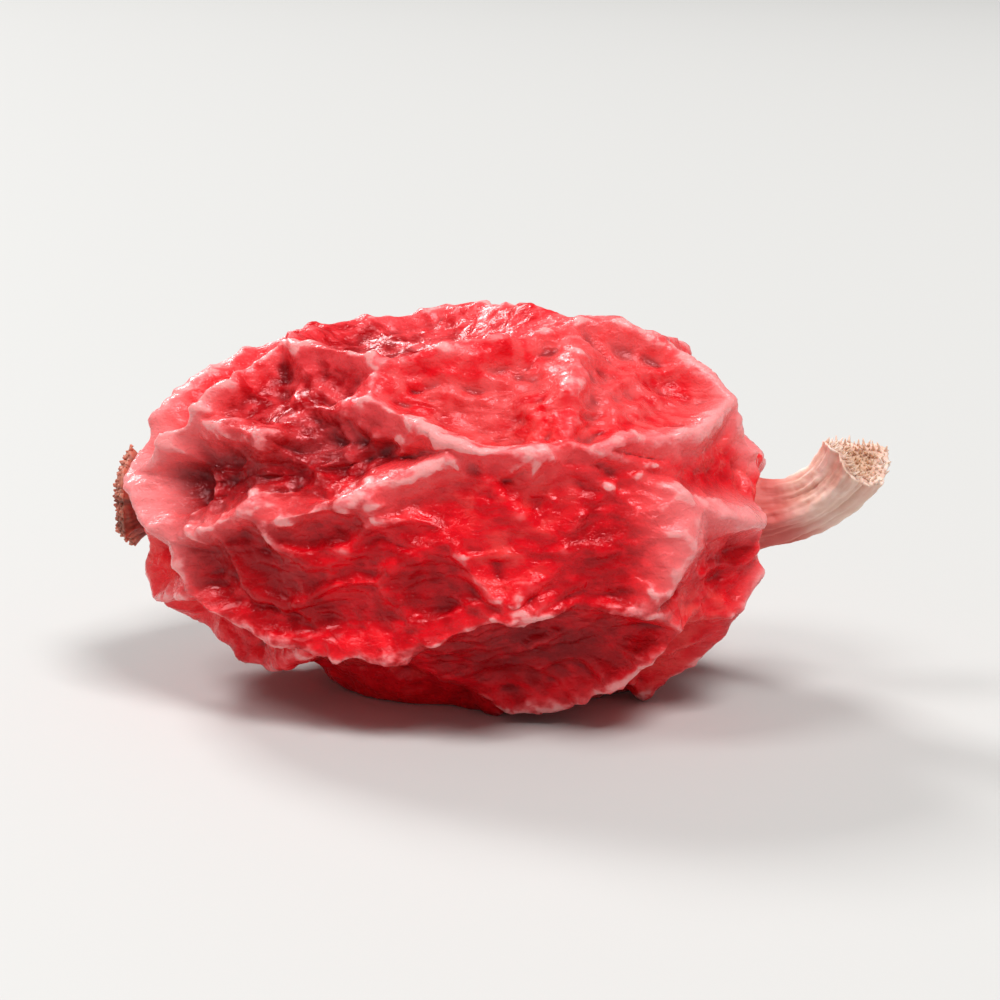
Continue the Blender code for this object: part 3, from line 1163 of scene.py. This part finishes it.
@dataclass(frozen=True)
class PaleEdge(Inputs):
    """What a colour pales to along an edge, where, how patchily, and how far."""

    pale: Triple = (1.0, 1.0, 1.0)
    low: float = 0.5
    high: float = 1.0
    patchiness: float = 0.2
    strength: float = 1.0

    def over(self, below: Feed, edge: Value, mottle: Value) -> Value:
        """Pales a colour along an edge."""
        feeds = {"Color": below, "Edge": edge, "Mottle": mottle, **self.named}
        return edge.graph.call(pale_edge_group(), feeds)


@cache
def pale_edge_group() -> Graph:
    """Builds the shader group that pales a colour along raised edges.

    Returns:
        The group. The pale is broken by the mottle, so that it comes and goes along an edge.
    """
    color = {"Color": "NodeSocketColor"}
    inputs = {**color, "Edge": 0.0, "Mottle": 0.5, **PaleEdge().named}
    graph = new_tree("pale_edges", "ShaderNodeTree", inputs, color)
    broken = (graph["Mottle"] - 0.5) * graph["Patchiness"] * graph["Edge"].ramp(*PATCHY_SPAN)
    share = (graph["Edge"] + broken).ramp(graph["Low"], graph["High"]) * graph["Strength"]
    graph.give({"Color": graph.mix(share, graph["Color"], graph["Pale"])})
    return graph


@dataclass(frozen=True)
class Tint:
    """A colour that covers another, from none at one end of a span to its share at the other."""

    color: Triple
    span: Span = (0.0, 1.0)
    share: float = 1.0

    def over(self, below: Feed, value: Value, weight: Feed = 1.0) -> Value:
        """Covers a colour where a value runs through the span, times a weight."""
        cover = value.ramp(*self.span) * self.share * weight
        return value.graph.mix(cover, below, self.color)


@dataclass(frozen=True)
class Finish:
    """What every finish of the berry has: grain, roughness, and light that glows through."""

    name: ClassVar[str]
    grain: DryGrain
    roughness: Span
    glow_radius: Triple
    glow_scale: float
    glow: float = 0.25
    bump: float = 0.010
    specular_tint: Triple = (1.0, 1.0, 1.0)

    def color(self, graph: Graph, blots: Value) -> Value:
        """Builds the colour in the material's graph, from what the group of dry grain gives."""
        raise NotImplementedError

    def material(self) -> Material:
        """Builds the material.

        Returns:
            The material.
        """
        material, shader = new_material(self.name)
        graph = Graph(material.node_tree)
        blots = graph.call(grain_group(), self.grain.named)
        low, high = self.roughness
        feeds = {"Value": blots["Height"], "To Min": low, "To Max": high}
        rough = graph.add("ShaderNodeMapRange", feeds)
        feeds = {"Height": blots["Height"], "Distance": self.bump * MM}
        looks = {
            "Base Color": self.color(graph, blots),
            "Roughness": rough,
            "Normal": graph.add("ShaderNodeBump", feeds),
            "Subsurface Weight": self.glow,
            "Subsurface Radius": self.glow_radius,
            "Subsurface Scale": self.glow_scale * MM,
            "Specular Tint": self.specular_tint,
        }
        graph.feed(shader, looks)
        log.info("finish %s", self.name)
        return material


@dataclass(frozen=True)
class SkinFinish(Finish):
    """Dried glossy skin over dark flesh: red, with painted shade where it sank and in its creases,
    and pale along its crests, partly dried skin and partly painted highlight and sheen.
    """

    name: ClassVar[str] = "dried_skin"
    grain: DryGrain = DryGrain(0.10, 0.75, 1.5, 0.7)
    bump: float = 0.005
    roughness: Span = (0.12, 0.30)
    glow: float = 0.20
    glow_radius: Triple = (1.0, 0.05, 0.04)
    glow_scale: float = 0.25
    specular_tint: Triple = (1.0, 0.42, 0.45)
    red: Triple = (0.47, 0.0004, 0.004)
    # Bright and salmon follow the tone: the flesh's uneven colour, and painted light on the lit
    # kept hollows.
    bright: Tint = Tint((0.88, 0.003, 0.012), (0.05, 0.65))
    salmon: Tint = Tint((0.96, 0.095, 0.085), (0.55, 1.05), 0.7)
    unevenness: float = 0.6
    # Painted shade: dark red in the sunken hollows, deeper where the tone is dark.
    hollow: Tint = Tint((0.07, 0.0001, 0.0012), (0.25, 0.95), 0.7)
    hollow_line: Span = (1.15, -0.8)
    # Pink on up-facing skin: partly a bloom, partly painted sheen from the light above.
    haze: Tint = Tint((0.88, 0.13, 0.14), (0.0, 0.8), 0.55)
    haze_line: Span = (-0.15, 1.3)
    # Painted shade in the creases.
    crease: Tint = Tint((0.07, 0.0001, 0.0012), (0.0, 1.0), 0.7)
    # Crest colours, halo to ends: partly pale dried skin, partly painted highlight and sheen where
    # the crests catch the light.
    halo: Tint = Tint((0.95, 0.12, 0.125), (0.35, 1.0))
    halo_line: Span = (0.40, 0.65)
    crest_span: Span = (0.25, 0.85)
    crest_line: Span = (0.20, 0.85)
    end_span: Span = (0.60, 0.90)
    end_line: Span = (1.0, 0.9)
    pale: PaleEdge = PaleEdge((0.97, 0.22, 0.23), 0.08, 0.75, 1.3, 0.85)
    cream: PaleEdge = PaleEdge((0.99, 0.40, 0.39), 0.50, 1.15, 2.2, 0.80)
    end: Tint = Tint((0.98, 0.30, 0.30), (0.55, 0.90), 0.75)

    def color(self, graph: Graph, blots: Value) -> Value:
        """Builds the colour: tone by tone, then painted shade in the hollows and creases, bloom
        with painted sheen on top, and its crests and ends, pale partly as dried skin and partly as
        painted highlight.

        Args:
            graph: the material's graph.
            blots: what the group of dry grain gives.

        Returns:
            The colour.
        """
        patchy = (blots["Speckle"] + blots["Mottle"]) * 0.5
        tone = graph.mask(Mask.TONE) + (patchy - 0.5) * self.unevenness
        # Tone by tone: uneven flesh colour, with painted light where the kept hollows face the
        # light.
        color = self.bright.over(self.red, tone)
        color = self.salmon.over(color, tone)
        # Painted shade in the sunken hollows.
        color = self.hollow.over(color, graph.mask(Mask.HOLLOW), tone.line(*self.hollow_line))
        # Pink on up-facing skin: partly bloom, partly painted sheen.
        bloom_and_sheen_share = graph.math("MAXIMUM", patchy.line(*self.haze_line), 0.0)
        color = self.haze.over(color, graph.mask(Mask.UPWARD), bloom_and_sheen_share)
        # Painted shade in the creases.
        color = self.crease.over(color, graph.mask(Mask.CREASED))
        # Pale crests and ends: partly pale dried skin, partly painted highlight and sheen.
        crest, tip = graph.mask(Mask.CREST), graph.mask(Mask.TIP)
        color = self.halo.over(color, crest, patchy.line(*self.halo_line))
        crest = crest.ramp(*self.crest_span)
        ended = tip.ramp(*self.end_span).line(*self.end_line)
        edge = graph.mask(Mask.RAISED) * crest.line(*self.crest_line) * ended
        for lit in (self.pale, self.cream):
            color = lit.over(color, edge, patchy)
        return self.end.over(color, tip, crest)


@dataclass(frozen=True)
class StalkFinish(Finish):
    """Dry woody stalk: cream, pinker towards its foot, darker in its torn end."""

    name: ClassVar[str] = "dry_stalk"
    grain: DryGrain = DryGrain(0.07, 0.35, 3.0)
    roughness: Span = (0.55, 0.70)
    glow_radius: Triple = (1.0, 0.5, 0.3)
    glow_scale: float = 0.15
    cream: Triple = (0.95, 0.72, 0.62)
    blotch: Tint = Tint((0.66, 0.33, 0.22), share=0.35)
    groove: Tint = Tint((0.66, 0.33, 0.22), (1.0, 0.0), 0.5)
    foot: Tint = Tint((0.66, 0.08, 0.07), (0.52, 0.22), 0.85)
    torn: Tint = Tint((0.62, 0.36, 0.22), (0.82, 0.93), 0.75)

    def color(self, graph: Graph, blots: Value) -> Value:
        """Builds the colour: mottled cream, blushing at the foot and tan in the torn end.

        Args:
            graph: the material's graph.
            blots: what the group of dry grain gives.

        Returns:
            The colour.
        """
        color = self.blotch.over(self.cream, blots["Mottle"])
        color = self.groove.over(color, graph.mask(Mask.CREST))
        for tint in (self.foot, self.torn):
            color = tint.over(color, graph.mask(Mask.TIP))
        return color


@dataclass(frozen=True)
class StigmaFinish(Finish):
    """Dry puckered tissue: dusky pink, pale on its rim and brown in its pit."""

    name: ClassVar[str] = "dry_stigma"
    grain: DryGrain = DryGrain(0.08, 0.30, 1.0)
    roughness: Span = (0.48, 0.62)
    glow_radius: Triple = (1.0, 0.3, 0.2)
    glow_scale: float = 0.2
    pink: Triple = (0.34, 0.05, 0.035)
    rim: PaleEdge = PaleEdge((0.62, 0.20, 0.13), 0.2, 0.9, 0.5, 0.9)
    rim_spans: tuple[Span, Span] = ((0.25, 0.48), (0.78, 0.55))
    groove: Tint = Tint((0.09, 0.02, 0.012), (1.0, 0.0), 0.6)
    pit: Tint = Tint((0.09, 0.02, 0.012), (0.62, 0.88), 0.9)

    def color(self, graph: Graph, blots: Value) -> Value:
        """Builds the colour: dusky sides, a pale rim and a brown pit.

        Args:
            graph: the material's graph.
            blots: what the group of dry grain gives.

        Returns:
            The colour.
        """
        tip = graph.mask(Mask.TIP)
        rising, falling = self.rim_spans
        edge = tip.ramp(*rising) * tip.ramp(*falling)
        color = self.rim.over(self.pink, edge, blots["Mottle"])
        color = self.groove.over(color, graph.mask(Mask.CREST))
        return self.pit.over(color, tip)


@dataclass(frozen=True)
class Lamp:
    """A square soft light: lengths in millimetres, angles in degrees as the camera's are."""

    name: str
    azimuth: float
    elevation: float
    size: float
    energy: float


@dataclass
class Studio:
    """The pale floor, the soft lights and the camera."""

    target: Vector
    azimuth: float = 6.0
    elevation: float = 14.0
    distance: float = 27.0
    lens: float = 85.0
    clip: Span = (0.5, 10000.0)
    sky: float = 0.22
    floor_size: float = 6000.0
    floor_color: Triple = (0.58, 0.575, 0.56)
    floor_roughness: float = 0.7
    lamps: tuple[Lamp, ...] = (
        Lamp("key", 42.0, 62.0, 170.0, 1.95),
        Lamp("rim", 222.0, 40.0, 130.0, 1.50),
        Lamp("fill", -66.0, 56.0, 150.0, 0.75),
    )
    lamp_distance: float = 500.0

    def place(self, item: Object, azimuth: float, elevation: float, distance: float) -> None:
        """Puts a light or the camera in the scene, facing the berry.

        Args:
            item: the light or the camera.
            azimuth: how far round the berry it is, in degrees from the -Y side.
            elevation: how far up it is, in degrees.
            distance: how far off it is, in millimetres.
        """
        turn, rise = math.radians(azimuth), math.radians(elevation)
        flat = math.cos(rise)
        direction = Vector((math.sin(turn) * flat, -math.cos(turn) * flat, math.sin(rise)))
        bpy.context.scene.collection.objects.link(item)
        item.location = self.target + direction * (distance * MM)
        item.rotation_euler = (-direction).to_track_quat("-Z", "Y").to_euler()

    def add_floor(self) -> None:
        """Lays the plain floor that the berry rests on."""
        ground = bmesh.new()
        bmesh.ops.create_grid(ground, x_segments=1, y_segments=1, size=self.floor_size / 2 * MM)
        mesh = bpy.data.meshes.new("floor")
        ground.to_mesh(mesh)
        ground.free()
        material, shader = new_material("plain_floor")
        looks = {"Base Color": self.floor_color, "Roughness": self.floor_roughness}
        Graph(material.node_tree).feed(shader, looks)
        mesh.materials.append(material)
        new_item("floor", mesh)

    def add_lights(self) -> None:
        """Hangs the soft lights and sets a plain pale sky."""
        for lamp in self.lamps:
            data = bpy.data.lights.new(lamp.name, "AREA")
            data.size = lamp.size * MM
            data.energy = lamp.energy
            light = bpy.data.objects.new(lamp.name, data)
            self.place(light, lamp.azimuth, lamp.elevation, self.lamp_distance)
        world = bpy.data.worlds.new("sky")
        bpy.context.scene.world = world
        world.use_nodes = True
        feeds = {"Color": (1.0, 1.0, 1.0), "Strength": self.sky}
        Graph(world.node_tree).feed(world.node_tree.nodes["Background"], feeds)

    def add_camera(self) -> None:
        """Sets up the camera at the photo's angle."""
        data = bpy.data.cameras.new("camera")
        data.lens = self.lens
        data.clip_start, data.clip_end = (end * MM for end in self.clip)
        camera = bpy.data.objects.new("camera", data)
        self.place(camera, self.azimuth, self.elevation, self.distance)
        bpy.context.scene.camera = camera
        bpy.context.scene.view_settings.view_transform = "Standard"

    def build(self) -> None:
        """Builds the studio."""
        self.add_floor()
        self.add_lights()
        self.add_camera()
        log.info("studio with %d lamps", len(self.lamps))


def write_sizes() -> None:
    """Updates the scene's view layer."""
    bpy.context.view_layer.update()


def main() -> None:
    """Builds the berry piece by piece round the frame, and then its studio."""
    logging.basicConfig(level=logging.INFO, format="%(name)s: %(message)s")
    fruit = Fruit(Vector(frame["record"]["mounts"][0]["pos_m"]))
    for piece, finish, node, slot in (
        (fruit, SkinFinish(), "fruit", Slot.SKIN),
        (StalkStub(fruit), StalkFinish(), "stalk_stub", Slot.STALK),
        (StigmaRemnant(fruit), StigmaFinish(), "stigma_remnant", Slot.STIGMA),
    ):
        dress(piece.build(finish.material()), node)
    low, high = CAD_BOX
    Studio((low + high) / 2).build()
    write_sizes()


if __name__ == "__main__":
    main()
